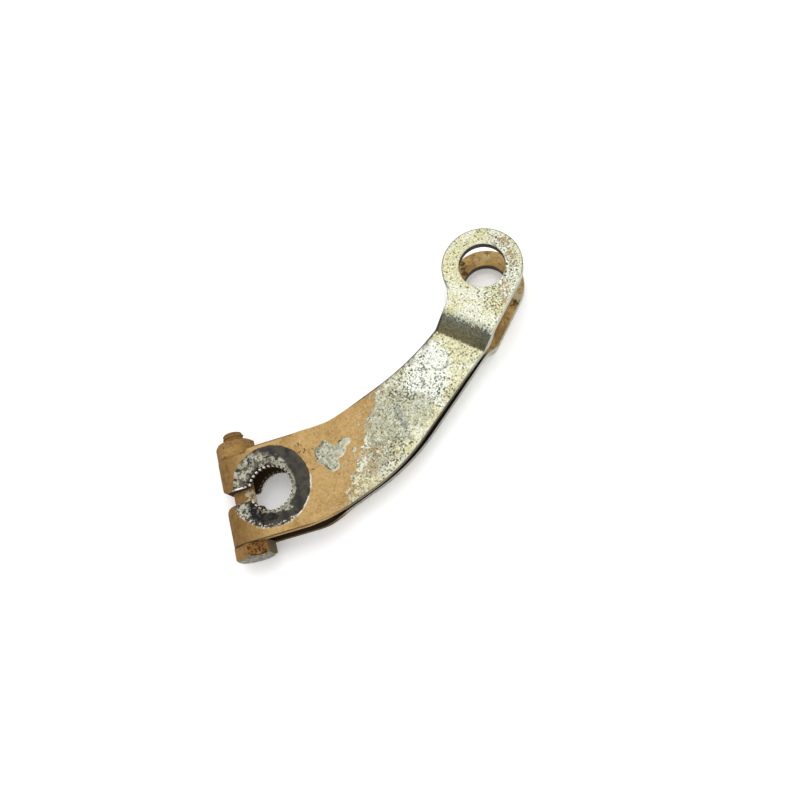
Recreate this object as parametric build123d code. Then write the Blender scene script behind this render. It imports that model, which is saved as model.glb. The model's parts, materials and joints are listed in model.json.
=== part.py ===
import os
from math import acos, atan2, cos, radians, sin, tan

from build123d import *

os.makedirs("parts", exist_ok=True)

# Frame: the origin is on the bore axis, midway between the two leaves.
# X points at the clevis hole and Z points out of the front leaf, in mm.
# The hub frame is turned about Z, so that its Y runs along the pinch bolt.
armLength = 85.5
hubTurn = -30.4

# The folded sheet and its levels
sheet = 2.5
boltRadius = 3.0
boltClearance = 0.10
foldInner = boltRadius + boltClearance
foldOuter = foldInner + sheet
leafGap = 0.4
earGap = 12.0
midLevel = (leafGap + sheet) / 2
hubLevel = foldInner + sheet / 2
earLevel = (earGap + sheet) / 2
hubBend = 4.0
joggleBend = 2.6

# The hub and its two jaws
hubHalfWidth = 13.1
toothTip = 6.0
toothDepth = 0.5
boltPastTips = 0.2
boltOffset = toothTip + boltPastTips + boltRadius
foldEdge = boltOffset + foldOuter
convergeStart = 11.5
convergeEnd = 19.0
hubRun = 46.0
slotWidth = 3.9
jawCorner = 3.2

# The step in the sheet's edge that keeps the nut from turning
nutRecess = 1.25
shoulderFoot = -5.0
shoulderTop = -4.2

# The serrated bore
toothCount = 30
toothLand = 5.2
grooveFloor = 2.6
toothPitch = 360 / toothCount

# The arm's outline. A hub corner is a distance along the hub's straight side,
# and the other corners are points in the frame.
upperHubCorner = 16.9
upperMidCorner = (0.595 * armLength, -2.6)
upperEarCorner = (armLength - 7.5, -0.2)
upperRounding = (54.0, 80.0)
lowerRounding = (26.0, 60.0, 8.0, 8.0)

# The lower edges, which differ a little because the sheet didn't fold square
frontLower = {
    "hub": 11.2,
    "mid": (0.333 * armLength, -22.5),
    "joggle": (armLength - 18.1, -16.3),
    "ear": (armLength - 13.3, -16.0),
}
backLower = {
    "hub": 12.5,
    "mid": (0.3655 * armLength, -22.95),
    "joggle": (armLength - 18.1, -16.8),
    "ear": (armLength - 14.0, -16.5),
}

# The clevis ears
earRadius = 11.5
earHole = 6.6
neckRounding = 9.5

# The joggles that spread the ears, as distances back from the clevis hole
clevisTurn = 17.3
clevisRun = 28.0
joggleStart = 21.0
joggleEnd = 16.8

# The spot welds
weldMark = 3.2
weldDent = 0.15
weldCore = 2.4
weldPlaces = [(0.371 * armLength, -10.9), (0.680 * armLength, -8.5)]

# The pinch bolt and its nut
hexFlats = 10.0
headHeight = 4.0
headTurn = 25.0
nutHeight = 5.0
nutTurn = 4.0
boltPastNut = 3.05
nutSeat = hubHalfWidth - nutRecess
boltLength = hubHalfWidth + nutSeat + nutHeight + boltPastNut
boltEndCone = 0.6
nutClearance = 0.05
seatClearance = 0.02
cornerCone = 30.0
faceRadius = 4.8

# Long enough to cut or cover the whole part
through = 60.0


def inHub(shape):
    return Rot(Z=hubTurn) * shape


def hubPoint(x, y):
    turn = radians(hubTurn)
    return (x * cos(turn) - y * sin(turn), x * sin(turn) + y * cos(turn))


def earTangent(point):
    # Where a line from the point touches the lower side of the ear
    away = Vector(point[0] - armLength, point[1], 0)
    angle = atan2(away.Y, away.X) + acos(earRadius / away.length)
    return (armLength + earRadius * cos(angle), earRadius * sin(angle))


def hubSheet():
    # The fold round the bolt and both leaves, seen along the bolt
    with BuildLine() as path:
        FilletPolyline(
            (hubRun, midLevel),
            (convergeEnd, midLevel),
            (convergeStart, hubLevel),
            (-boltOffset, hubLevel),
            radius=hubBend,
        )
        ThreePointArc(
            (-boltOffset, hubLevel),
            (-boltOffset - hubLevel, 0),
            (-boltOffset, -hubLevel),
        )
        FilletPolyline(
            (-boltOffset, -hubLevel),
            (convergeStart, -hubLevel),
            (convergeEnd, -midLevel),
            (hubRun, -midLevel),
            radius=hubBend,
        )
    profile = Plane.XZ * trace(path.line, line_width=sheet)
    return inHub(extrude(profile, amount=through, both=True))


def clevisSheet(side):
    # One leaf from the middle of the arm, up the joggle and over the ear
    hole = armLength * cos(radians(clevisTurn))
    rise = atan2(earLevel - midLevel, joggleStart - joggleEnd)
    shift = sheet / 2 * tan(rise / 2)
    with BuildLine() as path:
        FilletPolyline(
            (clevisRun, side * midLevel),
            (hole - joggleStart + shift, side * midLevel),
            (hole - joggleEnd + shift, side * earLevel),
            (armLength + through, side * earLevel),
            radius=joggleBend,
        )
    profile = Plane.XZ * trace(path.line, line_width=sheet)
    return Rot(Z=clevisTurn) * extrude(profile, amount=through, both=True)


def armOutline(lower):
    seat = [hubPoint(-foldEdge - 5, nutSeat), hubPoint(shoulderFoot, nutSeat)]
    shoulder = hubPoint(shoulderTop, hubHalfWidth)
    hubBottom = hubPoint(-foldEdge - 5, -hubHalfWidth)
    upperHub = hubPoint(upperHubCorner, hubHalfWidth)
    lowerHub = hubPoint(lower["hub"], -hubHalfWidth)
    upper = [upperHub, upperMidCorner]
    under = [lowerHub, lower["mid"], lower["joggle"], lower["ear"]]
    corners = [*seat, shoulder, *upper, upperEarCorner, (armLength, 0)]
    corners += [earTangent(lower["ear"]), *reversed(under), hubBottom]
    rounding = [*zip(upper, upperRounding), *zip(under, lowerRounding)]
    with BuildSketch() as outline:
        with BuildLine():
            Polyline(*corners, close=True)
        make_face()
        for point, radius in rounding:
            fillet(nearest(outline.vertices(), point), radius)
        with Locations((armLength, 0)):
            Circle(earRadius)
        neck = (armLength - earRadius, upperEarCorner[1])
        fillet(nearest(outline.vertices(), neck), neckRounding)
    return outline.sketch


def nearest(vertices, point):
    target = Vector(point[0], point[1], 0)
    return min(vertices, key=lambda corner: (Vector(*corner) - target).length)


def splineHole():
    # A round hole with straight-sided grooves, which leaves flat-tipped teeth
    mouth = radians((toothPitch - toothLand) / 2)
    floor = radians(grooveFloor / 2)
    root = toothTip + toothDepth
    groove = [
        (toothTip - toothDepth, 0),
        (toothTip * cos(mouth), -toothTip * sin(mouth)),
        (root * cos(floor), -root * sin(floor)),
        (root * cos(floor), root * sin(floor)),
        (toothTip * cos(mouth), toothTip * sin(mouth)),
    ]
    cut = make_face(Polyline(*groove, close=True))
    hole = Sketch() + Circle(toothTip)
    hole += [Rot(Z=(index + 0.5) * toothPitch) * cut for index in range(toothCount)]
    return inHub(hole)


def clampSlot():
    # The slot between the jaws, widening where their outer corners are rounded
    half = slotWidth / 2
    mouth = half + jawCorner
    neck = (-foldEdge + jawCorner, half)
    onArc = jawCorner * (1 - cos(radians(45)))
    upper = (neck, (-foldEdge + onArc, half + onArc), (-foldEdge, mouth))
    lower = [(x, -y) for x, y in reversed(upper)]
    outside = [upper[2], (-through, mouth), (-through, -mouth), lower[0]]
    inside = [lower[2], (0, -half), (0, half), neck]
    sides = Polyline(*outside) + ThreePointArc(*lower)
    sides += Polyline(*inside) + ThreePointArc(*upper)
    return inHub(make_face(sides))


def foldedStrap():
    sheets = {1: (hubSheet() + clevisSheet(1), frontLower)}
    sheets[-1] = (hubSheet() + clevisSheet(-1), backLower)
    strap = Part()
    for side, (bent, lower) in sheets.items():
        strap += bent & extrude(armOutline(lower), amount=side * through)
    for x, y in weldPlaces:
        strap += Pos(x, y) * Cylinder(weldCore, leafGap + sheet)
    for hole in (splineHole(), clampSlot(), Pos(armLength, 0) * Circle(earHole)):
        strap -= extrude(hole, amount=through, both=True)
    for x, y in weldPlaces:
        for side in (1, -1):
            face = side * (midLevel + sheet / 2)
            strap -= Pos(x, y, face) * Cylinder(weldMark, 2 * weldDent)
    return strap


def hexBlock(height, turn, bothEnds):
    # A hexagon along Z, with its corners turned off to a cone at the far end
    corner = hexFlats / 2 / cos(radians(30))
    drop = (corner - faceRadius) * tan(radians(cornerCone))
    outline = [(0, 0), (corner, 0)]
    if bothEnds:
        outline = [(0, 0), (faceRadius, 0), (corner, drop)]
    outline += [(corner, height - drop), (faceRadius, height), (0, height)]
    turned = revolve(Plane.XZ * make_face(Polyline(*outline, close=True)), Axis.Z)
    hexagon = RegularPolygon(corner, 6, rotation=turn)
    return extrude(hexagon, amount=height) & turned


def alongBolt(shape, start):
    # Stands a shape drawn along Z on the bolt axis, running toward the nut
    upright = Plane(origin=(-boltOffset, start, 0), x_dir=(1, 0, 0), z_dir=(0, 1, 0))
    return inHub(upright * shape)


def pinchBolt():
    outline = [
        (0, 0),
        (boltRadius, 0),
        (boltRadius, boltLength - boltEndCone),
        (boltRadius - boltEndCone, boltLength),
        (0, boltLength),
    ]
    shank = revolve(Plane.XZ * make_face(Polyline(*outline, close=True)), Axis.Z)
    head = mirror(hexBlock(headHeight, headTurn, False), about=Plane.XY)
    return alongBolt(head + shank, -hubHalfWidth - seatClearance)


def pinchNut():
    nut = hexBlock(nutHeight, nutTurn, True)
    nut -= Cylinder(boltRadius + nutClearance, 3 * nutHeight)
    return alongBolt(nut, nutSeat + seatClearance)


export_step(foldedStrap(), "parts/folded_strap.step")
export_step(pinchBolt(), "parts/pinch_bolt.step")
export_step(pinchNut(), "parts/pinch_nut.step")
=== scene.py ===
import json
import math

import bmesh
import bpy
from mathutils import Matrix, Vector


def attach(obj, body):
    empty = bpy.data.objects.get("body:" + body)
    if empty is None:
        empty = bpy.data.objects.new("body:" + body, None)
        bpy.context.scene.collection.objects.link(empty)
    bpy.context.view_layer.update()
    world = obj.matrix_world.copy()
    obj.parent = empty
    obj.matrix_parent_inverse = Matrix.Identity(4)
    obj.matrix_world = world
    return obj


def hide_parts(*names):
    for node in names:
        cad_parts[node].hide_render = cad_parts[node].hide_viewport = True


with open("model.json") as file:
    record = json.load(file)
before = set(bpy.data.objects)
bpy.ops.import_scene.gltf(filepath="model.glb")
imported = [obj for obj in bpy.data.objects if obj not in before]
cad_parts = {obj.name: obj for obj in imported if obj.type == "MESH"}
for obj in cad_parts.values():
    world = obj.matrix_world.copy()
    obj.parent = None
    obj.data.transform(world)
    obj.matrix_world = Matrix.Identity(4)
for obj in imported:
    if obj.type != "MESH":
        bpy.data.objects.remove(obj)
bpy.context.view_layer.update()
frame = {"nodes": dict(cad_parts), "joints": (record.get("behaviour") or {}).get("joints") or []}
millimetre = 0.001

# The hub frame is the lever's frame turned about Z, so that its Y runs along the pinch bolt
boltJoint = next(joint for joint in frame["joints"] if joint["child"] == "bolt")
boltAxis = Vector(boltJoint["axis"]).normalized()
boltPoint = Vector(boltJoint["pos_m"])
hubTurn = -math.atan2(boltAxis.x, boltAxis.y)
hubToFrame = Matrix.Rotation(hubTurn, 4, "Z")
boltOffset = (hubToFrame.inverted() @ boltPoint).x


def plug(tree, value, socket):
    if isinstance(value, bpy.types.NodeSocket):
        tree.links.new(value, socket)
    else:
        socket.default_value = value


def addNode(tree, kind, inputs=None, **settings):
    node = tree.nodes.new(kind)
    for name, value in settings.items():
        setattr(node, name, value)
    for name, value in (inputs or {}).items():
        plug(tree, value, node.inputs[name])
    return node


def calc(tree, operation, *values, clamp=False):
    node = addNode(tree, "ShaderNodeMath", operation=operation, use_clamp=clamp)
    for socket, value in zip(node.inputs, values):
        plug(tree, value, socket)
    return node.outputs[0]


def total(tree, *values):
    result = values[0]
    for value in values[1:]:
        result = calc(tree, "ADD", result, value)
    return result


def product(tree, *values):
    result = values[0]
    for value in values[1:]:
        result = calc(tree, "MULTIPLY", result, value)
    return result


def largest(tree, *values):
    result = values[0]
    for value in values[1:]:
        result = calc(tree, "MAXIMUM", result, value)
    return result


def without(tree, mask):
    return calc(tree, "SUBTRACT", 1.0, mask, clamp=True)


def vectorCalc(tree, operation, *values, output=0):
    node = addNode(tree, "ShaderNodeVectorMath", operation=operation)
    for socket, value in zip(node.inputs, values):
        plug(tree, value, socket)
    return node.outputs[output]


def dot(tree, place, direction):
    return vectorCalc(tree, "DOT_PRODUCT", place, direction, output="Value")


def fade(tree, value, low, high):
    # 0 below low and 1 above high, or the other way round where low is the larger
    inputs = {"Value": value, "From Min": low, "From Max": high}
    node = addNode(tree, "ShaderNodeMapRange", inputs, interpolation_type="SMOOTHSTEP")
    return node.outputs[0]


def between(tree, value, climb, drop):
    # 1 from the end of climb to the start of drop, and 0 outside both
    return product(tree, fade(tree, value, *climb), fade(tree, value, drop[1], drop[0]))


def blendColors(tree, share, under, over):
    node = addNode(tree, "ShaderNodeMix", data_type="RGBA")
    plug(tree, share, node.inputs[0])
    plug(tree, under, node.inputs[6])
    plug(tree, over, node.inputs[7])
    return node.outputs[2]


def brighten(tree, shade, amount):
    inputs = {"Value": amount, "Color": shade}
    return addNode(tree, "ShaderNodeHueSaturation", inputs).outputs[0]


def blendValues(tree, share, under, over):
    node = addNode(tree, "ShaderNodeMix", data_type="FLOAT")
    plug(tree, share, node.inputs[0])
    plug(tree, under, node.inputs[2])
    plug(tree, over, node.inputs[3])
    return node.outputs[0]


def noise(tree, place, size, detail=3.0, roughness=0.6):
    # size is the distance between the noise's lumps, in the place's own units
    inputs = {"Vector": place, "Scale": 1 / size, "Detail": detail, "Roughness": roughness}
    return addNode(tree, "ShaderNodeTexNoise", inputs).outputs["Fac"]


def spots(tree, place, size, low, high, detail=2.0):
    # Soft-edged spots: the closer low and high are, the crisper
    return fade(tree, noise(tree, place, size, detail), low, high)


def wander(tree, place, size, reach, detail=4.0, roughness=0.6):
    # A noise about 0, which pushes an edge to and fro by up to half of reach
    centred = calc(tree, "SUBTRACT", noise(tree, place, size, detail, roughness), 0.5)
    return product(tree, centred, reach)


def splitXyz(tree, vector):
    return addNode(tree, "ShaderNodeSeparateXYZ", {"Vector": vector}).outputs


def color(red, green, blue):
    # From the 0 to 255 numbers of a colour picker to the light values that Blender wants
    def linear(value):
        value /= 255
        return value / 12.92 if value <= 0.04045 else ((value + 0.055) / 1.055) ** 2.4

    return (linear(red), linear(green), linear(blue), 1.0)


def startGroup(name, inputs, outputs):
    kinds = {float: "NodeSocketFloat", tuple: "NodeSocketVector"}
    group = bpy.data.node_groups.new(name, "ShaderNodeTree")
    for label, value in inputs.items():
        kind = kinds[type(value)]
        if kind == "NodeSocketVector" and len(value) == 4:
            kind = "NodeSocketColor"
        socket = group.interface.new_socket(label, in_out="INPUT", socket_type=kind)
        socket.default_value = value
    for label, kind in outputs.items():
        group.interface.new_socket(label, in_out="OUTPUT", socket_type=kind)
    enter = group.nodes.new("NodeGroupInput").outputs
    leave = group.nodes.new("NodeGroupOutput").inputs
    return group, enter, leave


def placeGroup(tree, group, **inputs):
    node = tree.nodes.new("ShaderNodeGroup")
    node.node_tree = group
    for name, value in inputs.items():
        plug(tree, value, node.inputs[name])
    return node.outputs


def makeDustGroup():
    # Dry caked dust: broad tone changes, clods and fine grains
    inputs = {
        "Place": (0.0, 0.0, 0.0),
        "Light": color(200, 170, 115),
        "Dark": color(160, 125, 72),
        "Broad": 9.0,
        "Clod": 1.6,
        "Grain": 0.65,
    }
    outputs = {"Color": "NodeSocketColor", "Height": "NodeSocketFloat"}
    group, enter, leave = startGroup("driedDust", inputs, outputs)
    layers = {
        "Broad": {"detail": 3.0, "limits": (0.36, 0.64), "toneShare": 0.36},
        "Clod": {"detail": 4.0, "limits": (0.34, 0.66), "toneShare": 0.24},
        "Grain": {"detail": 2.0, "limits": (0.36, 0.64), "toneShare": 0.4},
    }
    lumps, tones = {}, []
    for name, layer in layers.items():
        scale = calc(group, "DIVIDE", 1.0, enter[name])
        inputs = {"Vector": enter["Place"], "Scale": scale, "Detail": layer["detail"], "Roughness": 0.6}
        lumps[name] = addNode(group, "ShaderNodeTexNoise", inputs).outputs["Fac"]
        contrasty = fade(group, lumps[name], *layer["limits"])
        tones.append(product(group, contrasty, layer["toneShare"]))
    tone = total(group, *tones)
    plug(group, blendColors(group, tone, enter["Dark"], enter["Light"]), leave["Color"])
    height = total(group, product(group, lumps["Clod"], 0.6), product(group, lumps["Grain"], 0.25))
    plug(group, height, leave["Height"])
    return group


def makePitGroup():
    # Separate pits of mixed sizes with ragged edges: Amount is the share of cells with one
    inputs = {"Place": (0.0, 0.0, 0.0), "Spacing": 1.0, "Amount": 0.3, "Width": 0.35}
    group, enter, leave = startGroup("scatteredPits", inputs, {"Mask": "NodeSocketFloat"})
    ragged = wander(group, enter["Place"], 1 / 2.2, 0.5, detail=2.0, roughness=0.5)
    scale = calc(group, "DIVIDE", 1.0, enter["Spacing"])
    inputs = {"Vector": enter["Place"], "Scale": scale}
    cells = addNode(group, "ShaderNodeTexVoronoi", inputs, feature="F1").outputs
    chance = addNode(group, "ShaderNodeSeparateColor", {"Color": cells["Color"]}).outputs
    there = calc(group, "LESS_THAN", chance["Red"], enter["Amount"])
    width = product(group, enter["Width"], total(group, 0.4, chance["Green"]))
    edge = product(group, width, 0.55)
    distance = total(group, cells["Distance"], ragged)
    plug(group, product(group, there, fade(group, distance, width, edge)), leave["Mask"])
    return group


def makePatchGroup():
    # A patch with a ragged edge, as where dust has flaked off: an ellipse seen along Z.
    # Along and Across are its two directions, each divided by its radius.
    inputs = {
        "Place": (0.0, 0.0, 0.0),
        "Shift": (0.0, 0.0, 0.0),
        "Centre": (0.0, 0.0, 0.0),
        "Along": (1.0, 0.0, 0.0),
        "Across": (0.0, 1.0, 0.0),
        "Ragged": 1.5,
        "Soft": 0.12,
    }
    group, enter, leave = startGroup("raggedPatch", inputs, {"Mask": "NodeSocketFloat"})
    amount = product(group, enter["Ragged"], 2.0)
    shift = addNode(group, "ShaderNodeVectorMath", {"Scale": amount}, operation="SCALE")
    plug(group, enter["Shift"], shift.inputs[0])
    offset = vectorCalc(group, "SUBTRACT", enter["Place"], enter["Centre"])
    offset = vectorCalc(group, "ADD", offset, shift.outputs[0])
    along = dot(group, offset, enter["Along"])
    across = dot(group, offset, enter["Across"])
    square = total(group, product(group, along, along), product(group, across, across))
    distance = calc(group, "SQRT", square)
    outer = calc(group, "ADD", 1.0, enter["Soft"])
    inner = calc(group, "SUBTRACT", 1.0, enter["Soft"])
    plug(group, fade(group, distance, outer, inner), leave["Mask"])
    return group


def startMaterial(name):
    # The node tree with its shader, and each point's place in millimetres
    material = bpy.data.materials.new(name)
    material.use_nodes = True
    tree = material.node_tree
    tree.nodes.clear()
    shader = tree.nodes.new("ShaderNodeBsdfPrincipled")
    output = tree.nodes.new("ShaderNodeOutputMaterial")
    tree.links.new(shader.outputs[0], output.inputs["Surface"])
    coordinates = tree.nodes.new("ShaderNodeTexCoord").outputs
    perMetre = (1 / millimetre, 1 / millimetre, 1 / millimetre)
    place = vectorCalc(tree, "MULTIPLY", coordinates["Object"], perMetre)
    return material, tree, shader.inputs, place, coordinates["Normal"]


def placeDust(tree, place, finish):
    colors = {"Light": finish["dustLight"], "Dark": finish["dustDark"]}
    return placeGroup(tree, dustGroup, Place=place, **colors)


def connectSurface(tree, shader, shade, roughness, height, depth):
    # depth is how far the whole range of height stands out, in millimetres
    inputs = {"Height": height, "Distance": depth * millimetre, "Strength": 0.7}
    bump = addNode(tree, "ShaderNodeBump", inputs).outputs[0]
    plug(tree, shade, shader["Base Color"])
    plug(tree, roughness, shader["Roughness"])
    plug(tree, 0.2, shader["Specular IOR Level"])
    plug(tree, bump, shader["Normal"])


def raggedShift(tree, place):
    # Two noises that push the edges of the patches sideways and up
    edge = {"size": 1.7, "reach": 1.0, "detail": 5.0, "roughness": 0.62}
    elsewhere = vectorCalc(tree, "ADD", place, (31.0, 17.0, 5.0))
    inputs = {"X": wander(tree, place, **edge), "Y": wander(tree, elsewhere, **edge)}
    return addNode(tree, "ShaderNodeCombineXYZ", inputs).outputs[0]


def patches(tree, place, shift, listed, moved=(0.0, 0.0)):
    # moved slides the whole list sideways and up
    mask = None
    for centre, radii, turn, ragged in listed:
        cosine, sine = math.cos(math.radians(turn)), math.sin(math.radians(turn))
        outputs = placeGroup(
            tree,
            patchGroup,
            Place=place,
            Shift=shift,
            Centre=(centre[0] + moved[0], centre[1] + moved[1], 0.0),
            Along=(cosine / radii[0], sine / radii[0], 0.0),
            Across=(-sine / radii[1], cosine / radii[1], 0.0),
            Ragged=ragged,
        )
        mask = largest(tree, mask, outputs["Mask"]) if mask else outputs["Mask"]
    return mask


dustGroup = makeDustGroup()
pitGroup = makePitGroup()
patchGroup = makePatchGroup()

weldPlaces = ((31.72, -10.9), (58.14, -8.5))
clevisTurn = math.radians(17.3)  # the joggles' slope runs this way

# Places and sizes are in millimetres in the lever's frame. A patch is its centre, radii,
# turn in degrees and raggedness, and an arc along an edge is its centre and radius.
strapSettings = {
    "dentRadius": 3.2,
    "dentFoot": 2.3,  # the radius of the dents' floor once their walls slope
    "dentLevel": 2.55,  # the floor's height from the middle of the strap
    "matchWithin": 0.05,
    "edgeWear": 0.25,  # width of the bevel along the edges
    "bevelAbove": 75.0,  # degrees between the faces of an edge that gets it
    "metallic": 0.4,
    "grainDepth": 0.18,
    "roughness": {"zinc": 0.42, "dust": 0.95, "ring": 0.65, "pit": 0.8},
    "zinc": color(196, 197, 176),
    "zincYellow": color(186, 182, 140),
    # painted highlight: the white of the arm's brightest zone
    "zincHighlight": color(214, 219, 213),
    "zincDull": color(148, 149, 126),
    "bright": color(236, 238, 226),
    # bright flecks, and the painted highlight along the lower edge
    "speck": color(62, 58, 42),
    "pit": color(30, 28, 22),
    # scuff grey, also used as painted shade on the weld dents' rims
    "scuffAndDentShade": color(120, 121, 112),
    # painted shade on the joggle and along the arm's upper edge
    "joggleShadeDark": color(106, 98, 66),
    "joggleShadeGrey": color(104, 104, 88),
    "dustLight": color(196, 164, 109),
    "dustDark": color(150, 116, 66),
    "dustSpeck": color(96, 72, 42),
    "stain": color(146, 118, 68),
    "soilAndShade": color(116, 86, 44),
    "charcoal": color(42, 40, 37),
    "smear": color(70, 66, 56),
    "crust": color(148, 144, 122),
    "crustDark": color(80, 74, 58),
    "crustPale": color(174, 172, 156),
    "black": color(13, 12, 10),
    "rim": color(222, 220, 204),
    "rust": color(104, 66, 34),
    "rustDark": color(18, 13, 8),
    "bareTipHighlight": color(240, 236, 226),
    "inner": color(184, 154, 98),
    "innerPale": color(176, 166, 132),
    # soot, and painted shade inside the hub and on the slot's side
    "sootAndShade": color(52, 36, 20),
    "leafGapShade": color(14, 12, 9),
    # painted shade along edges that turn away
    "outline": color(46, 43, 32),
    "cutFront": color(106, 92, 64),
    "cutBack": color(150, 148, 138),
    "cutEar": color(178, 178, 166),
    "holeWallShade": color(48, 42, 32),
    # Where the plate has another tone, and how strongly. The white zone on the arm is a painted
    # highlight.
    "zoneStrength": {"zincYellow": 0.8, "zincHighlight": 0.7, "zincDull": 0.75, "scuffAndDentShade": 0.85},
    "zones": {
        "zincYellow": [((80.0, 5.0), (4.0, 8.0), 0.0, 3.0), ((64.0, -9.0), (3.2, 9.0), 17.0, 3.0)],
        "zincHighlight": [((53.5, -8.5), (9.5, 6.0), 40.0, 6.0)],
        "zincDull": [
            ((37.0, -9.5), (9.0, 7.5), 25.0, 4.0),
            ((43.5, -14.0), (5.0, 4.5), 15.0, 3.0),
            ((27.5, -15.0), (6.0, 3.5), 30.0, 3.0),
        ],
        "scuffAndDentShade": [((38.9, -12.2), (1.0, 4.6), -18.0, 0.5), ((36.9, -17.4), (0.6, 1.8), -15.0, 0.4)],
    },
    "crowdedSpecks": [
        ((48.0, -6.5), (9.0, 4.2), 8.0, 3.0),
        ((52.5, -15.0), (4.0, 4.5), 0.0, 3.0),
        ((90.0, -6.0), (3.5, 5.5), -35.0, 2.0),
        ((80.5, -9.5), (3.0, 5.0), -35.0, 2.0),
        ((94.0, 0.0), (2.4, 4.0), 10.0, 2.0),
        ((31.0, -17.5), (5.0, 2.6), 25.0, 2.0),
    ],
    # The arcs on these sides are painted shade on the weld dents' rims
    "weldArcSides": [(-0.87, -0.5, 0.0), (-0.5, -0.87, 0.0)],  # where each dent's rim shows
    "weldArcRadius": 2.75,
    "dustEdge": ((28.6, -8.0), (0.5, -0.867)),  # a point on it, and the way out of the dust
    "barePatches": [
        ((17.3, -4.4), (3.1, 3.3), 0.0, 0.5),
        ((16.4, -7.4), (1.9, 2.1), 10.0, 0.5),
        ((20.2, -5.9), (2.2, 1.8), -10.0, 0.5),
        ((23.2, -5.2), (1.9, 1.2), -25.0, 0.5),
        ((18.9, -1.8), (0.9, 1.2), 0.0, 0.5),
        ((23.6, -8.8), (0.7, 0.6), 0.0, 0.4),
    ],
    "dustCracks": [((13.0, 1.6), (2.2, 1.6), 60.0, 0.8), ((15.2, -0.6), (1.2, 0.9), 0.0, 0.6)],
    "tanFlecks": [
        ((27.8, -14.2), (2.2, 1.6), 30.0, 1.6),
        ((25.0, -12.2), (1.6, 1.2), 0.0, 1.2),
        ((24.4, -15.8), (2.8, 1.4), 30.0, 1.8),
        ((29.5, -18.3), (2.4, 0.9), 10.0, 1.5),
    ],
    "earStains": [
        ((92.4, -4.6), (1.3, 2.9), -38.0, 1.2),
        ((94.6, 0.4), (1.0, 2.0), 10.0, 1.2),
        ((83.6, -10.3), (1.8, 3.4), -50.0, 1.6),
    ],
    "innerSoot": [((87.3, -10.3), (1.8, 1.0), -35.0, 0.8), ((85.4, 8.8), (2.4, 1.2), 50.0, 1.0)],
    "innerBlots": [((91.5, 6.8), (3.2, 1.4), -40.0, 1.4), ((95.0, 1.6), (1.8, 1.0), -60.0, 1.0)],
    "clevisDirection": (math.cos(clevisTurn), math.sin(clevisTurn), 0.0),
    "upperArc": ((56.9, 104.1), 106.0),
    "earArc": ((85.5, 0.0), 11.5),
    "ringCentre": (0.4, 0.3),
    "ringRadius": 11.45,
    "ringBite": [((-7.85, 9.7), (1.7, 4.5), 131.0, 0.4)],
    "crustPatches": [
        ((-1.2, 3.4), (8.4, 8.8), 25.0, 0.9),
        ((3.0, 2.8), (4.7, 5.2), 10.0, 0.9),
        ((-1.6, -6.4), (3.4, 1.0), -40.0, 0.8),
    ],
    "crustBlots": [
        ((1.2, 8.3), (1.0, 0.8), 0.0, 0.6),
        ((-1.4, 9.1), (0.7, 0.6), 0.0, 0.5),
        ((8.8, 4.0), (1.1, 0.9), 30.0, 0.7),
        ((9.2, 0.6), (1.0, 1.6), 0.0, 0.9),
        ((-5.6, 4.6), (1.8, 3.6), -20.0, 1.0),
    ],
    "blackJaw": [((-7.8, -2.6), (1.5, 4.1), -13.0, 0.9), ((-5.6, -5.6), (2.6, 1.2), -45.0, 0.9)],
    "paleJaw": [((-9.5, 0.6), (1.4, 2.4), 5.0, 0.6)],
    # Ways across the strap
    "toUpperJaw": (-0.55, 0.83, 0.0),
    "toLowerArm": (0.454, -0.891, 0.0),
    "toLowerJaw": (-0.766, -0.643, 0.0),
    "earToArm": (-0.6, -0.8, 0.0),
    # Where a mask climbs or drops along the lever's X, and joggleShadow along its Y
    "joggleShadow": (-11.0, -14.5),
    "rollOffReach": ((28.0, 40.0), (60.0, 68.0)),
    "joggleReach": ((58.0, 60.0), (74.0, 76.0)),
    "upperLineReach": ((14.0, 20.0), (66.0, 69.0)),
    "underLineReach": (62.0, 58.0),
    "farLineReach": (64.0, 60.0),
    "leafGapReach": (72.0, 66.0),
    "edgeHighlightReach": (18.0, 24.0),
    "cutReach": (4.0, 14.0),
    "cleanCutReach": (60.0, 66.0),
    # The same along the hub's own X
    "hubInsideReach": (18.0, 12.0),
    "foldStart": (-9.0, -9.6),
    "foldBack": (-12.3, -12.6),
    "slotSideReach": (-6.2, -6.6),
    "soilAndShadeReach": (0.0, -12.0),
    # Distances from the bore's or the clevis hole's axis
    "boreWall": (6.75, 6.6),
    "backTips": (6.5, 6.35),
    "frontTips": (6.36, 6.24),
    "tipFace": (6.2, 6.08),
    "clevisWall": (7.2, 7.0),
}


def inHub(tree, vector):
    # The hub frame's X, along the hub, and its Y, along the pinch bolt
    along = (math.cos(hubTurn), math.sin(hubTurn), 0.0)
    return dot(tree, vector, along), dot(tree, vector, tuple(boltAxis))


def away(tree, place, centre):
    # The distance from an upright line through the centre
    offset = vectorCalc(tree, "SUBTRACT", place, (*centre, 0.0))
    flat = vectorCalc(tree, "MULTIPLY", offset, (1.0, 1.0, 0.0))
    return vectorCalc(tree, "LENGTH", flat, output="Value")


def pastArc(tree, place, arc):
    # How far a place is outside an arc
    centre, radius = arc
    return calc(tree, "SUBTRACT", away(tree, place, centre), radius)


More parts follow.
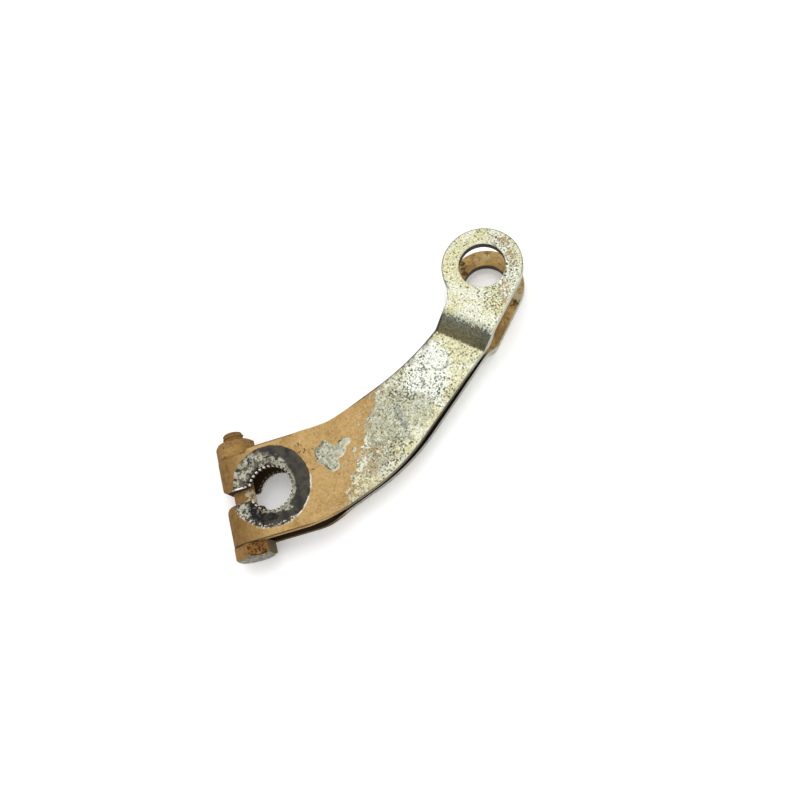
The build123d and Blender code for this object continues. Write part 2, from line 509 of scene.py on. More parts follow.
def zincLayer(tree, place, shift, finish):
    # Bright plate with a yellow cast, other tones by zone with a painted highlight among them, painted
    # shade toward the upper edge and round the weld dents, dense specks and a few pits
    broad = spots(tree, place, 6.0, 0.42, 0.6, 4.0)
    shade = blendColors(tree, broad, finish["zinc"], finish["zincYellow"])
    for tone, listed in finish["zones"].items():
        mask = product(tree, patches(tree, place, shift, listed), finish["zoneStrength"][tone])
        shade = blendColors(tree, mask, shade, finish[tone])
    # Painted shade: the plate darkens toward the arm's upper edge, where the sheet rolls off
    rollOffShade = fade(tree, pastArc(tree, place, finish["upperArc"]), 3.2, 0.2)
    rollOffShade = product(tree, rollOffShade, between(tree, splitXyz(tree, place)[0], *finish["rollOffReach"]))
    rollOffShade = product(tree, rollOffShade, spots(tree, place, 1.2, 0.34, 0.6, 4.0), 0.75)
    shade = blendColors(tree, rollOffShade, shade, finish["joggleShadeDark"])

    crowd = patches(tree, place, shift, finish["crowdedSpecks"])
    bright = spots(tree, vectorCalc(tree, "ADD", place, (40.0, 9.0, 0.0)), 0.5, 0.5, 0.64)
    shade = blendColors(tree, product(tree, bright, 0.4), shade, finish["bright"])
    fine = noise(tree, place, 0.5, 1.5, 0.5)
    level = calc(tree, "SUBTRACT", 0.58, product(tree, crowd, 0.075))
    specks = fade(tree, calc(tree, "SUBTRACT", fine, level), 0.0, 0.07)
    patchy = blendValues(tree, spots(tree, place, 2.6, 0.36, 0.64), 0.7, 1.0)
    shade = blendColors(tree, product(tree, specks, patchy, 0.8), shade, finish["speck"])
    dots = placeGroup(tree, pitGroup, Place=place, Spacing=0.8, Amount=0.42, Width=0.4)["Mask"]
    dots = product(tree, dots, blendValues(tree, crowd, 0.75, 0.95))
    shade = blendColors(tree, dots, shade, finish["speck"])
    grain = blendValues(tree, spots(tree, place, 0.4, 0.34, 0.66, 1.0), 0.8, 1.12)
    shade = brighten(tree, shade, grain)

    # Painted shade: a dark arc along one side of each weld dent's rim
    for centre, side in zip(weldPlaces, finish["weldArcSides"]):
        line = calc(tree, "ABSOLUTE", pastArc(tree, place, (centre, finish["weldArcRadius"])))
        reach = dot(tree, vectorCalc(tree, "SUBTRACT", place, (*centre, 0.0)), side)
        arc = product(tree, fade(tree, line, 0.4, 0.1), fade(tree, reach, 0.6, 2.0), 0.6)
        shade = blendColors(tree, arc, shade, finish["scuffAndDentShade"])
    few = placeGroup(tree, pitGroup, Place=place, Spacing=2.4, Amount=0.3, Width=0.17)["Mask"]
    near = placeGroup(tree, pitGroup, Place=place, Spacing=1.0, Amount=0.5, Width=0.3)["Mask"]
    pits = largest(tree, few, product(tree, near, crowd))
    return blendColors(tree, product(tree, pits, 0.8), shade, finish["pit"]), pits


def patchLayer(tree, place, shift, finish):
    # Bare metal where a flake of dust came off: mottled grey, with painted shade along its
    # upper left and a painted highlight as a rim below, where the dust's edge stands up
    bare = patches(tree, place, shift, finish["barePatches"])
    lower = patches(tree, place, shift, finish["barePatches"], moved=(-0.05, 0.3))
    upper = patches(tree, place, shift, finish["barePatches"], moved=(0.6, -0.5))
    mottle = spots(tree, place, 0.8, 0.38, 0.62, 3.0)
    shade = blendColors(tree, mottle, finish["zincDull"], finish["zinc"])
    leftward = fade(tree, splitXyz(tree, place)[0], 21.0, 15.0)
    dark = spots(tree, place, 0.65, 0.57, 0.63, 3.0)
    dark = product(tree, dark, blendValues(tree, leftward, 0.35, 0.95))
    shade = blendColors(tree, dark, shade, finish["speck"])
    # Painted shade along the patch's upper left edge
    edge = product(tree, without(tree, upper), spots(tree, place, 1.1, 0.42, 0.5, 3.0))
    shade = blendColors(tree, product(tree, edge, 0.8), shade, finish["outline"])
    # Painted highlight along the patch's lower rim
    shade = blendColors(tree, product(tree, without(tree, lower), 0.9), shade, finish["rim"])
    return bare, shade


def dustMask(tree, place, shift, finish):
    # Dust over the clamp end: it stops along a ragged line across the arm
    point, across = finish["dustEdge"]
    past = dot(tree, vectorCalc(tree, "SUBTRACT", place, (*point, 0.0)), (*across, 0.0))
    ragged = wander(tree, place, 3.2, 7.0, detail=5.0, roughness=0.65)
    coat = fade(tree, calc(tree, "ADD", past, ragged), 0.6, -0.5)
    holes = product(tree, spots(tree, place, 1.1, 0.57, 0.63, 4.0), fade(tree, past, -9.0, -1.0), 0.8)
    coat = product(tree, coat, without(tree, holes))
    lowSide = fade(tree, splitXyz(tree, place)[1], -8.0, -14.0)
    flecks = product(tree, spots(tree, place, 1.1, 0.52, 0.58, 4.0), fade(tree, past, 9.0, 0.0))
    flecks = product(tree, flecks, blendValues(tree, lowSide, 0.35, 1.0), 0.85)
    broken = spots(tree, place, 0.75, 0.49, 0.56, 3.0)
    listed = [*finish["tanFlecks"], *finish["earStains"]]
    stained = product(tree, patches(tree, place, shift, listed), broken, 0.8)
    return largest(tree, coat, flecks, stained)


def washerRing(tree, place, shift, bore, finish):
    # The ring that a washer kept clean, with crust creeping in from the bore. Here and
    # below, bore is the distance from the bore's axis.
    wobble = wander(tree, place, 1.8, 0.9)
    edge = finish["ringRadius"]
    radius = calc(tree, "ADD", away(tree, place, finish["ringCentre"]), wobble)
    ring = fade(tree, radius, edge + 0.12, edge - 0.12)
    ring = product(tree, ring, without(tree, patches(tree, place, shift, finish["ringBite"])))
    smeared = spots(tree, place, 2.6, 0.36, 0.64, 4.0)
    shade = blendColors(tree, smeared, finish["charcoal"], finish["smear"])

    mottle = spots(tree, place, 1.3, 0.4, 0.5, 4.0)
    crusty = product(tree, patches(tree, place, shift, finish["crustPatches"]), mottle)
    atBore = fade(tree, calc(tree, "ADD", bore, product(tree, wobble, 2.0)), 7.55, 7.15)
    crusty = largest(tree, crusty, product(tree, atBore, 0.9))
    crust = blendColors(tree, spots(tree, place, 2.4, 0.4, 0.6), finish["crust"], finish["crustPale"])
    blots = product(tree, patches(tree, place, shift, finish["crustBlots"]), 0.12)
    grit = total(tree, noise(tree, place, 0.75, 3.0), blots)
    dark = product(tree, fade(tree, grit, 0.5, 0.57), 0.92)
    crust = blendColors(tree, dark, crust, finish["crustDark"])
    shade = blendColors(tree, crusty, shade, crust)

    # The lower jaw is black by the bore, with pale flakes at its end
    holes = spots(tree, place, 1.0, 0.6, 0.5, 4.0)
    black = product(tree, patches(tree, place, shift, finish["blackJaw"]), holes)
    shade = blendColors(tree, black, shade, finish["black"])
    flakes = spots(tree, place, 0.8, 0.54, 0.44, 3.0)
    pale = product(tree, patches(tree, place, shift, finish["paleJaw"]), flakes)
    shade = blendColors(tree, pale, shade, finish["crustPale"])

    # The bore's mouth is rusty toward the upper jaw. Its tooth tips are bare metal with a painted
    # highlight, and the slot's lip gets a painted highlight.
    upperSide = fade(tree, dot(tree, place, finish["toUpperJaw"]), 0.5, 3.0)
    ragged = total(tree, bore, product(tree, wobble, 3.0))
    mouth = product(tree, fade(tree, ragged, 7.9, 6.9), upperSide, spots(tree, place, 1.4, 0.36, 0.5))
    shade = blendColors(tree, product(tree, mouth, 0.9), shade, finish["rustDark"])
    # Bare tooth tips with a painted highlight
    toothFace = product(tree, fade(tree, bore, *finish["frontTips"]), upperSide)
    shade = blendColors(tree, product(tree, toothFace, 0.85), shade, finish["bareTipHighlight"])
    hubX, hubY = inHub(tree, place)
    # Painted highlight along the slot's lip
    lipHighlight = between(tree, hubY, (0.0, 1.0), (2.3, 2.5))
    lipHighlight = product(tree, lipHighlight, between(tree, hubX, (-10.2, -9.4), (-7.0, -6.4)))
    lipHighlight = product(tree, lipHighlight, spots(tree, place, 0.9, 0.34, 0.44))
    return ring, blendColors(tree, lipHighlight, shade, finish["bareTipHighlight"]), crusty


def rimChips(tree, place, finish):
    # Chipped dust that shows bright metal: a thin line outside the ring on the arm's side,
    # and a wider mottled band on the lower jaw
    radius = away(tree, place, finish["ringCentre"])
    wobble = wander(tree, place, 1.3, 1.5)
    wide = calc(tree, "ADD", radius, wobble)
    thin = calc(tree, "ADD", radius, product(tree, wobble, 0.5))
    line = between(tree, thin, (11.2, 11.35), (11.6, 11.75))
    line = product(tree, line, fade(tree, dot(tree, place, finish["toLowerArm"]), 9.3, 10.3))
    line = product(tree, line, spots(tree, place, 1.9, 0.4, 0.5))
    band = between(tree, wide, (10.3, 10.8), (11.6, 12.0))
    band = product(tree, band, spots(tree, place, 0.6, 0.5, 0.6, 4.0), 0.7)
    band = product(tree, band, fade(tree, dot(tree, place, finish["toLowerJaw"]), 6.4, 7.6))
    return largest(tree, line, band)


def outlines(tree, place, finish):
    # Painted shade: a thin dark line where the far edges of the sheet turn away
    x = splitXyz(tree, place)[0]
    hubY = inHub(tree, place)[1]
    upper = fade(tree, pastArc(tree, place, finish["upperArc"]), 0.6, 0.35)
    upper = product(tree, upper, between(tree, x, *finish["upperLineReach"]))
    rim = pastArc(tree, place, finish["earArc"])
    ear = product(tree, between(tree, rim, (-0.5, -0.25), (0.1, 0.3)), 0.6)
    fromHole = vectorCalc(tree, "SUBTRACT", place, (*finish["earArc"][0], 0.0))
    ear = product(tree, ear, fade(tree, dot(tree, fromHole, finish["earToArm"]), 5.6, 4.8))
    side = product(tree, fade(tree, hubY, 12.65, 12.85), fade(tree, x, 16.0, 12.0), 0.8)
    foot = product(tree, fade(tree, hubY, -12.7, -12.85), fade(tree, x, 12.0, 8.0), 0.9)
    edgeTone = blendValues(tree, noise(tree, place, 1.2, 3.0), 0.5, 1.1)
    return product(tree, largest(tree, upper, ear, side, foot), edgeTone)


def boreLayer(tree, place, bore, finish):
    # The serrations: rusty grooves, and bare tips with a painted highlight
    z = splitXyz(tree, place)[2]
    outer = largest(tree, fade(tree, z, 4.2, 5.2), fade(tree, z, -4.0, -4.8))
    bareTipHighlight = product(tree, fade(tree, bore, *finish["tipFace"]), outer)
    shade = blendColors(tree, spots(tree, place, 0.9, 0.4, 0.6, 4.0), finish["rust"], finish["rustDark"])
    return blendColors(tree, bareTipHighlight, shade, finish["bareTipHighlight"])


def cutLayer(tree, place, front, finish):
    # The sheet's cut edges: brown in front, grey at the back, clean round the ear, with painted shade on
    # the clevis hole's wall
    x = splitXyz(tree, place)[0]
    edgeTone = blendValues(tree, spots(tree, place, 1.6, 0.35, 0.65, 4.0), 0.75, 1.15)
    shade = blendColors(tree, front, finish["cutBack"], finish["cutFront"])
    shade = blendColors(tree, fade(tree, x, *finish["cleanCutReach"]), shade, finish["cutEar"])
    # Painted shade on the clevis hole's wall
    inHole = fade(tree, away(tree, place, finish["earArc"][0]), *finish["clevisWall"])
    shade = blendColors(tree, inHole, shade, finish["holeWallShade"])
    return brighten(tree, shade, edgeTone)


def dustLayer(tree, place, shift, hubX, dust, finish):
    # Dust that darkens toward the jaws and the fold, partly soil and partly painted shade, with dark
    # specks and cracks
    soiledAndShaded = blendValues(tree, spots(tree, place, 1.6, 0.36, 0.64, 4.0), 0.72, 1.0)
    soiledAndShaded = product(tree, fade(tree, hubX, *finish["soilAndShadeReach"]), soiledAndShaded)
    shade = blendColors(tree, soiledAndShaded, dust["Color"], finish["soilAndShade"])
    broken = spots(tree, place, 0.8, 0.54, 0.6, 3.0)
    cracks = product(tree, patches(tree, place, shift, finish["dustCracks"]), broken)
    specks = product(tree, spots(tree, place, 0.8, 0.64, 0.7, 3.0), 0.8)
    return blendColors(tree, largest(tree, cracks, specks), shade, finish["dustSpeck"])


def joggleLayer(tree, place, speckle, finish):
    # Painted shade on the slope up to the front ear, standing for the dark room it reflects: greyer
    # toward the top, darkest at the lower edge
    y, z = splitXyz(tree, place)[1:]
    shade = blendColors(tree, fade(tree, z, 3.6, 6.8), finish["joggleShadeDark"], finish["joggleShadeGrey"])
    lowEdgeShade = fade(tree, y, *finish["joggleShadow"])
    shade = brighten(tree, shade, blendValues(tree, lowEdgeShade, 1.0, 0.6))
    return brighten(tree, shade, blendValues(tree, fade(tree, speckle, 0.34, 0.66), 0.42, 1.3))


def innerLayer(tree, place, shift, hubX, backTips, finish):
    # Inside the fold and between the leaves: brown dust, never washed, with sooty patches, and painted
    # shade in the narrow gap between the leaves and inside the hub
    x, y = splitXyz(tree, place)[:2]
    brown = spots(tree, place, 2.2, 0.35, 0.65, 4.0)
    shade = blendColors(tree, brown, finish["inner"], finish["stain"])
    rightSide = fade(tree, pastArc(tree, place, finish["earArc"]), -3.6, -2.4)
    rightSide = product(tree, rightSide, fade(tree, x, 87.4, 88.4), fade(tree, y, -4.0, -6.0))
    rightSide = product(tree, rightSide, spots(tree, place, 1.3, 0.36, 0.54, 3.0))
    pale = spots(tree, place, 0.9, 0.52, 0.6, 4.0)
    pale = product(tree, pale, patches(tree, place, shift, finish["innerBlots"]))
    shade = blendColors(tree, largest(tree, pale, rightSide), shade, finish["innerPale"])
    sooty = spots(tree, place, 0.9, 0.4, 0.52, 3.0)
    sooty = product(tree, patches(tree, place, shift, finish["innerSoot"]), sooty, 0.85)
    shade = blendColors(tree, sooty, shade, finish["sootAndShade"])
    specks = product(tree, spots(tree, place, 0.8, 0.58, 0.64, 3.0), 0.6)
    shade = blendColors(tree, specks, shade, finish["dustSpeck"])
    # Painted shade where the leaves lie close together
    shade = blendColors(tree, fade(tree, x, *finish["leafGapReach"]), shade, finish["leafGapShade"])
    # Painted shade inside the hub
    shade = blendColors(tree, fade(tree, hubX, *finish["hubInsideReach"]), shade, finish["sootAndShade"])
    return blendColors(tree, product(tree, backTips, 0.8), shade, finish["scuffAndDentShade"])


def strapMaterial(finish):
    material, tree, shader, place, normal = startMaterial("worn_zinc_under_dust")
    x, _, z = splitXyz(tree, place)
    facing = splitXyz(tree, normal)[2]
    hubX = inHub(tree, place)[0]
    hubFacing = inHub(tree, normal)[1]
    shift = raggedShift(tree, place)
    bore = away(tree, place, (0.0, 0.0))
    speckle = noise(tree, place, 0.55, 3.0, 0.7)

    # Which side of the sheet this is: its outside, its inside, a cut, or the rounded lower edge that
    # gets a painted highlight
    outward = product(tree, facing, calc(tree, "SIGN", z))
    outside = fade(tree, outward, 0.1, 0.3)
    inside = fade(tree, outward, -0.1, -0.3)
    upright = fade(tree, calc(tree, "ABSOLUTE", facing), 0.4, 0.2)
    alongFold = fade(tree, calc(tree, "ABSOLUTE", hubFacing), 0.7, 0.4)
    inFold = product(tree, fade(tree, hubX, *finish["foldStart"]), alongFold)
    foldBack = product(tree, inFold, fade(tree, hubX, *finish["foldBack"]))
    outside = largest(tree, outside, foldBack)
    cut = product(tree, upright, without(tree, inFold))
    front = fade(tree, z, -0.5, 0.5)
    back = without(tree, front)
    lowSide = fade(tree, splitXyz(tree, normal)[1], -0.1, -0.3)

    # The joggle's slope, which gets painted shade and no metal sheen
    tilt = dot(tree, normal, finish["clevisDirection"])
    uneven = product(tree, calc(tree, "SUBTRACT", speckle, 0.5), 1.2)
    tilt = total(tree, tilt, uneven, product(tree, fade(tree, z, 4.5, 6.5), 0.26))
    joggle = product(tree, fade(tree, tilt, -0.2, -0.36), between(tree, x, *finish["joggleReach"]))
    joggle = product(tree, joggle, outside, front)
    # The front leaf's rounded lower edge, which gets a painted highlight
    edgeTone = product(tree, between(tree, outward, (0.5, 0.66), (0.85, 0.9)), lowSide, front)
    edgeTone = product(tree, edgeTone, without(tree, joggle), fade(tree, x, *finish["edgeHighlightReach"]))

    # The outside, from the plate up
    dust = placeDust(tree, place, finish)
    coat = dustMask(tree, place, shift, finish)
    bare, bareShade = patchLayer(tree, place, shift, finish)
    ring, ringShade, crusty = washerRing(tree, place, shift, bore, finish)
    ring = product(tree, ring, outside)
    bare = product(tree, bare, outside, front)
    chips = product(tree, rimChips(tree, place, finish), outside)
    zinc, pits = zincLayer(tree, place, shift, finish)
    joggleShade = joggleLayer(tree, place, speckle, finish)
    # Painted shade over the joggle
    shade = blendColors(tree, product(tree, joggle, 0.92), zinc, joggleShade)
    shade = blendColors(tree, coat, shade, dustLayer(tree, place, shift, hubX, dust, finish))
    shade = blendColors(tree, bare, shade, bareShade)
    shade = blendColors(tree, ring, shade, ringShade)
    shade = blendColors(tree, chips, shade, finish["rim"])

    # The inside and the edges
    backTips = product(tree, fade(tree, bore, *finish["backTips"]), back)
    innerShade = innerLayer(tree, place, shift, hubX, backTips, finish)
    shade = blendColors(tree, inside, shade, innerShade)
    # Painted highlight along the front leaf's rounded lower edge
    shade = blendColors(tree, product(tree, edgeTone, 0.8), shade, finish["bright"])
    # Painted shade on the back leaf's lower bevel, which turns away from the light
    turned = product(tree, fade(tree, outward, 0.6, 0.4), outside, back, lowSide)
    shade = blendColors(tree, turned, shade, finish["outline"])
    cutShown = product(tree, cut, fade(tree, x, *finish["cutReach"]))
    shade = blendColors(tree, cutShown, shade, cutLayer(tree, place, front, finish))
    # Painted shade: a dark line along the far part of the back leaf's lower cut
    farShadeLine = product(tree, fade(tree, z, -1.9, -2.2), fade(tree, x, *finish["farLineReach"]), lowSide)
    shade = blendColors(tree, product(tree, cut, farShadeLine, back, 0.8), shade, finish["outline"])
    # Painted shade: a dark line just past the front leaf's rounded lower edge
    underShadeLine = product(tree, between(tree, outward, (0.1, 0.2), (0.3, 0.45)), front)
    underShadeLine = product(tree, underShadeLine, fade(tree, x, *finish["underLineReach"]))
    underShadeLine = product(tree, underShadeLine, without(tree, inFold), without(tree, ring))
    shade = blendColors(tree, underShadeLine, shade, finish["outline"])
    # Painted shade lines along the far edges
    shadeLines = product(tree, outlines(tree, place, finish), outside, front)
    shade = blendColors(tree, shadeLines, shade, finish["outline"])
    # Painted shade on the slot's cut face under the upper jaw
    slotSideShade = product(tree, fade(tree, hubX, *finish["slotSideReach"]), upright)
    slotSideShade = product(tree, slotSideShade, fade(tree, hubFacing, -0.5, -0.8))
    shade = blendColors(tree, slotSideShade, shade, finish["sootAndShade"])
    inBore = product(tree, fade(tree, bore, *finish["boreWall"]), upright)
    shade = blendColors(tree, inBore, shade, boreLayer(tree, place, bore, finish))

    dusty = largest(tree, product(tree, coat, without(tree, ring)), inside)
    clean = product(tree, without(tree, dusty), without(tree, ring), without(tree, pits))
    level = finish["roughness"]
    roughness = blendValues(tree, dusty, level["zinc"], level["dust"])
    roughness = blendValues(tree, ring, roughness, level["ring"])
    roughness = blendValues(tree, pits, roughness, level["pit"])
    height = blendValues(tree, coat, product(tree, speckle, 0.35), total(tree, dust["Height"], 0.6))
    height = blendValues(tree, bare, height, product(tree, speckle, 0.3))
    height = blendValues(tree, ring, height, product(tree, crusty, 0.6))
    height = calc(tree, "SUBTRACT", height, product(tree, pits, without(tree, coat), 0.4))
    metal = product(tree, clean, without(tree, joggle), finish["metallic"])
    plug(tree, metal, shader["Metallic"])
    connectSurface(tree, shader, shade, roughness, height, finish["grainDepth"])
    return material


# Sizes are in millimetres, and turns and cones in degrees
boltSettings = {
    "headHeight": 4.0,
    "flats": 10.0,
    "faceRadius": 4.7,
    "faceFlat": 0.93,  # share of the face's radius inside its worn rim
    "faceDrop": 0.05,  # how far that rim drops
    "cornerCone": 30.0,
    "headTurn": 25.0,
    "radius": 3.0,
    "threadDepth": 0.5,
    "threadPitch": 1.0,
    "threadStart": 12.0,  # distance back from the bolt's end
    "grooveHalf": 0.44,  # half of the groove's width, in pitches
    "rootFlat": 1.15,  # above 1, the groove's root is flat
    "endCone": 0.61,
    "segments": 72,
    "stepsPerPitch": 8,
    "metallic": 0.5,
    "grainDepth": 0.25,
    "roughness": {"dust": 0.92, "face": 0.5},
    "dustLight": color(158, 122, 72),
    "dustDark": color(108, 78, 40),
    "rustLight": color(134, 92, 42),
    "rustDark": color(52, 32, 14),
    "olive": color(88, 84, 66),
    "face": color(146, 143, 126),
    "faceDark": color(78, 73, 58),
    "crust": color(196, 188, 158),
}


def boltMaterial(finish, seat):
    # Dusty all over. The head has one rusty flat, one bare flat and a clean end face, and
    # seat is where it meets the strap, along the bolt's axis.
    material, tree, shader, place, normal = startMaterial("dusty_bolt_steel")
    along = dot(tree, place, tuple(boltAxis))
    facing = dot(tree, normal, tuple(boltAxis))
    sideways = inHub(tree, normal)[0]
    onHead = fade(tree, along, seat + 0.2, seat - 0.2)
    dust = placeDust(tree, place, finish)
    rustyFlat = between(tree, sideways, (-0.2, 0.2), (0.7, 0.95))
    rust = product(tree, spots(tree, place, 1.4, 0.36, 0.5, 4.0), rustyFlat, onHead)
    mottle = spots(tree, place, 0.6, 0.4, 0.6, 3.0)
    rustShade = blendColors(tree, mottle, finish["rustLight"], finish["rustDark"])
    shade = blendColors(tree, rust, dust["Color"], rustShade)
    oliveFlat = product(tree, onHead, fade(tree, sideways, 0.7, 0.95))
    shade = blendColors(tree, product(tree, oliveFlat, 0.85), shade, finish["olive"])

    # Crust on the part of the shank that crosses the bore
    crust = product(tree, spots(tree, place, 1.3, 0.44, 0.52, 4.0), fade(tree, along, -2.4, -1.6))
    nearBore = fade(tree, inHub(tree, place)[0], -9.0, -7.6)
    crust = product(tree, crust, nearBore, fade(tree, along, 2.4, 1.6))
    shade = blendColors(tree, product(tree, crust, 0.9), shade, finish["crust"])
    clean = product(tree, fade(tree, facing, -0.6, -0.8), onHead)
    streak = spots(tree, place, 0.9, 0.38, 0.62, 4.0)
    faceShade = blendColors(tree, streak, finish["face"], finish["faceDark"])
    shade = blendColors(tree, clean, shade, faceShade)
    roughness = blendValues(tree, clean, finish["roughness"]["dust"], finish["roughness"]["face"])
    plug(tree, product(tree, clean, finish["metallic"]), shader["Metallic"])
    connectSurface(tree, shader, shade, roughness, dust["Height"], finish["grainDepth"])
    return material


nutSettings = {
    "edgeWear": 0.4,
    "bevelAbove": 40.0,
    "grainDepth": 0.2,
    "roughness": 0.95,
    "dustLight": color(168, 133, 80),
    "dustDark": color(112, 82, 44),
    "crack": color(60, 40, 20),
}


def nutMaterial(finish):
    material, tree, shader, place, _ = startMaterial("nut_under_dust")
    dust = placeDust(tree, place, finish)
    cracks = product(tree, spots(tree, place, 1.0, 0.62, 0.68, 3.0), 0.7)
    shade = blendColors(tree, cracks, dust["Color"], finish["crack"])
    connectSurface(tree, shader, shade, finish["roughness"], dust["Height"], finish["grainDepth"])
    return material


def linkObject(name, data):
    piece = bpy.data.objects.new(name, data)
    bpy.context.scene.collection.objects.link(piece)
    return piece


def makeStrap(settings):
    # The CAD strap's own mesh, with the weld dents' walls laid back to a gentle slope
    mesh = frame["nodes"]["folded_strap"].data.copy()
    mesh.name = "dented_strap"
    shrink = settings["dentFoot"] / settings["dentRadius"]
    near = settings["matchWithin"]
    moved = 0
    for vertex in mesh.vertices:
        if abs(abs(vertex.co.z) / millimetre - settings["dentLevel"]) > near:
            continue
        for centre in weldPlaces:
            weld = Vector(centre) * millimetre
            offset = vertex.co.xy - weld
            if abs(offset.length / millimetre - settings["dentRadius"]) < near:
                vertex.co.xy = weld + offset * shrink
                moved += 1
    piece = linkObject("dented_strap", mesh)
    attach(piece, "lever")
    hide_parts("folded_strap")
    print("weld dents eased:", moved, "points")
    return piece


def dress(piece, material, settings):
    # The material, and a small round bevel along the piece's edges
    piece.data.materials.clear()
    piece.data.materials.append(material)
    joined = piece.modifiers.new("joined_faces", "WELD")
    joined.merge_threshold = 0.002 * millimetre
    bevel = piece.modifiers.new("worn_edges", "BEVEL")
    bevel.width = settings["edgeWear"] * millimetre
    bevel.segments = 3
    bevel.limit_method = "ANGLE"
    bevel.angle_limit = math.radians(settings["bevelAbove"])
    bevel.use_clamp_overlap = False
    for polygon in piece.data.polygons:
        polygon.use_smooth = False


def alongBolt(node):
    # The lowest and highest place of a node along the bolt's axis, in millimetres
    places = [vertex.co.dot(boltAxis) for vertex in frame["nodes"][node].data.vertices]
    return min(places) / millimetre, max(places) / millimetre


def ringAt(bm, radii, heights):
    # One ring of points round the bolt's axis. Heights run along the bolt, in millimetres.
    points = []
    for index, (radius, height) in enumerate(zip(radii, heights)):
        angle = math.tau * index / len(radii)
        across = Vector((radius * math.cos(angle), height, -radius * math.sin(angle)))
        local = Vector((boltOffset, 0.0, 0.0)) + across * millimetre
        points.append(bm.verts.new(hubToFrame @ local))
    return points


def skin(bm, rings):
    # Faces between the rings, and one at each end
    for lower, upper in zip(rings, rings[1:]):
        for index in range(len(lower)):
            after = (index + 1) % len(lower)
            bm.faces.new((lower[index], lower[after], upper[after], upper[index]))
    bm.faces.new(list(reversed(rings[0])))
    bm.faces.new(rings[-1])


def threadRadius(height, turn, settings):
    # The thread's radius at a height above its start, with turn from 0 to 1 round the bolt
    pitch = settings["threadPitch"]
    fromGroove = abs((height / pitch - turn) % 1.0 - 0.5)
    groove = max(0.0, 1 - fromGroove / settings["grooveHalf"])
    depth = settings["threadDepth"] * min(1.0, groove * settings["rootFlat"])
    depth *= min(1.0, height / pitch)
    toEnd = settings["threadStart"] - height
    limit = settings["radius"] - max(0.0, settings["endCone"] - toEnd)
    return min(limit, settings["radius"] - depth)


def makeBolt(settings, faceEnd, threadEnd):
    # The head from its face to its seat, then the plain shank, then the cut thread
    count = settings["segments"]
    hexRadii, faceHeights = [], []
    for index in range(count):
        turn = math.degrees(math.tau * index / count) - settings["headTurn"]
        radius = settings["flats"] / 2 / math.cos(math.radians(turn % 60 - 30))
        drop = max(0.0, radius - settings["faceRadius"])
        drop *= math.tan(math.radians(settings["cornerCone"]))
        hexRadii.append(radius)
        faceHeights.append(faceEnd + settings["faceDrop"] + drop)
    face, shank = settings["faceRadius"], settings["radius"]
    seat = faceEnd + settings["headHeight"]
    start = threadEnd - settings["threadStart"]
    bm = bmesh.new()
    rings = [
        ringAt(bm, [face * settings["faceFlat"]] * count, [faceEnd] * count),
        ringAt(bm, [face] * count, [faceEnd + settings["faceDrop"]] * count),
        ringAt(bm, hexRadii, faceHeights),
        ringAt(bm, hexRadii, [seat] * count),
        ringAt(bm, [shank] * count, [seat] * count),
        ringAt(bm, [shank] * count, [start] * count),
    ]
    step = settings["threadPitch"] / settings["stepsPerPitch"]
    for number in range(1, round(settings["threadStart"] / step) + 1):
        height = number * step
        radii = [threadRadius(height, index / count, settings) for index in range(count)]
        rings.append(ringAt(bm, radii, [start + height] * count))
    skin(bm, rings)
    bmesh.ops.recalc_face_normals(bm, faces=bm.faces)
    mesh = bpy.data.meshes.new("threaded_pinch_bolt")
    bm.to_mesh(mesh)
    bm.free()
    mesh.shade_smooth()
    mesh.set_sharp_from_angle(angle=math.radians(30))
    piece = linkObject("threaded_pinch_bolt", mesh)
    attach(piece, "bolt")
    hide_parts("pinch_bolt")
    return piece


dress(makeStrap(strapSettings), strapMaterial(strapSettings), strapSettings)
print("strap dressed")

dress(frame["nodes"]["pinch_nut"], nutMaterial(nutSettings), nutSettings)
print("nut dressed")

faceEnd, threadEnd = alongBolt("pinch_bolt")
bolt = makeBolt(boltSettings, faceEnd, threadEnd)
bolt.data.materials.append(boltMaterial(boltSettings, faceEnd + boltSettings["headHeight"]))
print("bolt made")


# The lever lies on its back ear and on a corner of the bolt's head, so the floor leans a
# little. The contacts are places on the floor, as X and Z in millimetres.
floorSettings = {
    "earContact": (69.0, -8.5),
    "hubContact": (-16.0, -5.8),
    "size": 3.0,  # in metres
    "dark": (0.92, 0.92, 0.92, 1.0),
    "light": (0.95, 0.95, 0.95, 1.0),
    "cloudSize": 60.0,
    "roughness": 0.7,
    "glow": 0.16,  # a little light of its own keeps the table near white
}


def makeFloor(settings):
    (earX, earZ), (hubX, hubZ) = settings["earContact"], settings["hubContact"]
    lean = math.atan2(hubZ - earZ, earX - hubX)
    half = settings["size"] / 2
    corners = [(-half, -half, 0), (half, -half, 0), (half, half, 0), (-half, half, 0)]
    mesh = bpy.data.meshes.new("table")
    mesh.from_pydata(corners, [], [(0, 1, 2, 3)])
    floor = linkObject("table", mesh)
    floor.location = (earX * millimetre, 0, earZ * millimetre)
    floor.rotation_euler = (0, lean, 0)
    material, tree, shader, place, _ = startMaterial("pale_table")
    tone = fade(tree, noise(tree, place, settings["cloudSize"], 4.0), 0.3, 0.7)
    shade = blendColors(tree, tone, settings["dark"], settings["light"])
    plug(tree, shade, shader["Base Color"])
    plug(tree, settings["roughness"], shader["Roughness"])
    plug(tree, (1.0, 1.0, 1.0, 1.0), shader["Emission Color"])
    plug(tree, settings["glow"], shader["Emission Strength"])
    mesh.materials.append(material)


makeFloor(floorSettings)
print("table made")

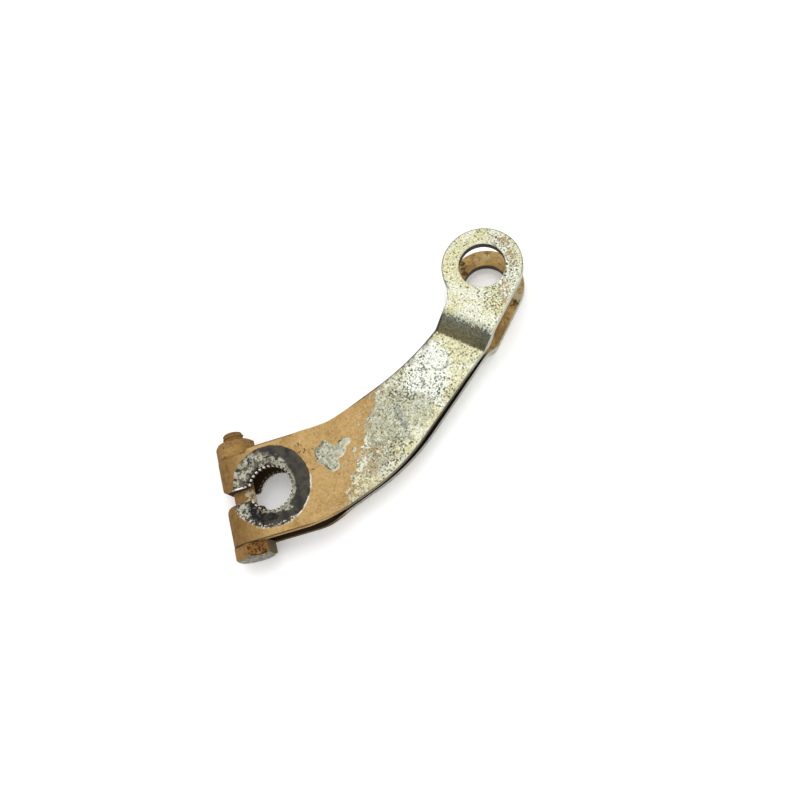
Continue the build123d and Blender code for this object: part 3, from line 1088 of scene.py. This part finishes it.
# The room's light is weaker at the horizon than overhead. Places, aims and sizes are in
# millimetres, and the lights' power is in watts.
lightSettings = {
    "horizon": 0.34,
    "zenith": 1.02,
    "windows": [
        {"name": "overhead", "place": (120, 120, 420), "aim": (55, -8, 0), "size": 220, "power": 0.5},
        {"name": "side", "place": (320, -60, 300), "aim": (40, 0, 0), "size": 260, "power": 0.18},
    ],
}


def makeLights(settings):
    world = bpy.data.worlds.new("soft_room")
    world.use_nodes = True
    tree = world.node_tree
    direction = tree.nodes.new("ShaderNodeTexCoord").outputs["Generated"]
    upward = fade(tree, splitXyz(tree, direction)[2], 0.0, 0.7)
    strength = blendValues(tree, upward, settings["horizon"], settings["zenith"])
    plug(tree, strength, tree.nodes["Background"].inputs["Strength"])
    tree.nodes["Background"].inputs["Color"].default_value = (1.0, 1.0, 1.0, 1.0)
    bpy.context.scene.world = world
    for window in settings["windows"]:
        data = bpy.data.lights.new(window["name"], "AREA")
        data.shape = "SQUARE"
        data.size = window["size"] * millimetre
        data.energy = window["power"]
        light = linkObject(window["name"], data)
        place = Vector(window["place"]) * millimetre
        aim = Vector(window["aim"]) * millimetre
        light.location = place
        light.rotation_mode = "QUATERNION"
        light.rotation_quaternion = (aim - place).to_track_quat("-Z", "Y")
    bpy.context.scene.view_settings.view_transform = "Standard"


# The camera looks straight down before it is turned about X, Y and Z, in degrees
cameraSettings = {
    "place": (24.06, -77.43, 216.75),
    "turns": (15.815, 9.597, -45.346),
    "lens": 36.27,
    "sensor": 36.0,
}


def makeCamera(settings):
    data = bpy.data.cameras.new("photo_view")
    data.lens = settings["lens"]
    data.sensor_width = settings["sensor"]
    data.clip_start = 0.01
    camera = linkObject("photo_view", data)
    turned = Matrix.Identity(4)
    for angle, axis in zip(settings["turns"], "XYZ"):
        turned = Matrix.Rotation(math.radians(angle), 4, axis) @ turned
    camera.matrix_world = Matrix.Translation(Vector(settings["place"]) * millimetre) @ turned
    bpy.context.scene.camera = camera


makeLights(lightSettings)
makeCamera(cameraSettings)
print("lights and camera placed")
